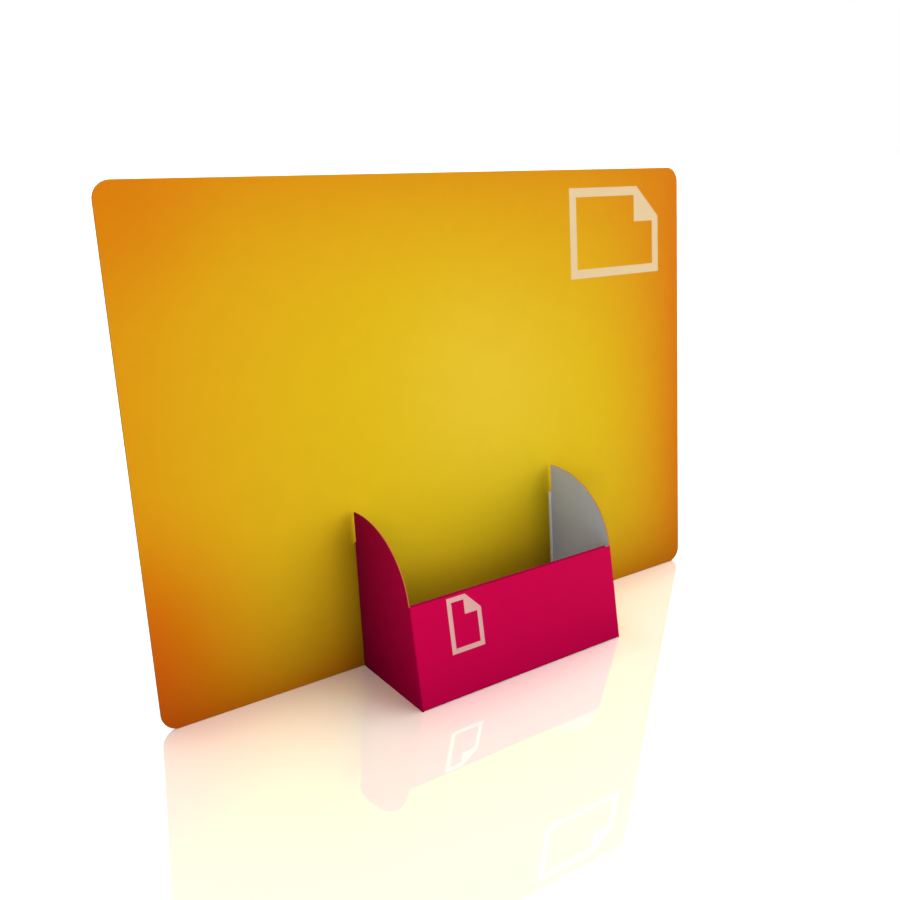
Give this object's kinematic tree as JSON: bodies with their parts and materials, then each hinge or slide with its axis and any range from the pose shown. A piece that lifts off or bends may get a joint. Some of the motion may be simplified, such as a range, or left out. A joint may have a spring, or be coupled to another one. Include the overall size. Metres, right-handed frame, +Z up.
{
  "type": "cardboard display stand",
  "caption": "Leaning counter display board in printed card with a folded leaflet pocket on its front and a folded easel strut behind.",
  "frame": {"origin": "under the middle of the stand's box, on the surface that it stands on", "axes": "+X across the stand to the right as seen from the front, +Y to the rear, +Z up; the pocket is at the front, towards -Y"},
  "size_m": [0.42, 0.1602, 0.2954],
  "materials": {
    "header_board": "coated board, printed in yellow and orange on the front",
    "pocket_board": "coated board, printed in deep pink outside, white inside",
    "strut_board": "plain white-lined board"
  },
  "bodies": {
    "root": {"header_card": "header_board", "leaflet_pocket": "pocket_board", "easel_strut": "strut_board"}
  },
  "joints": []
}
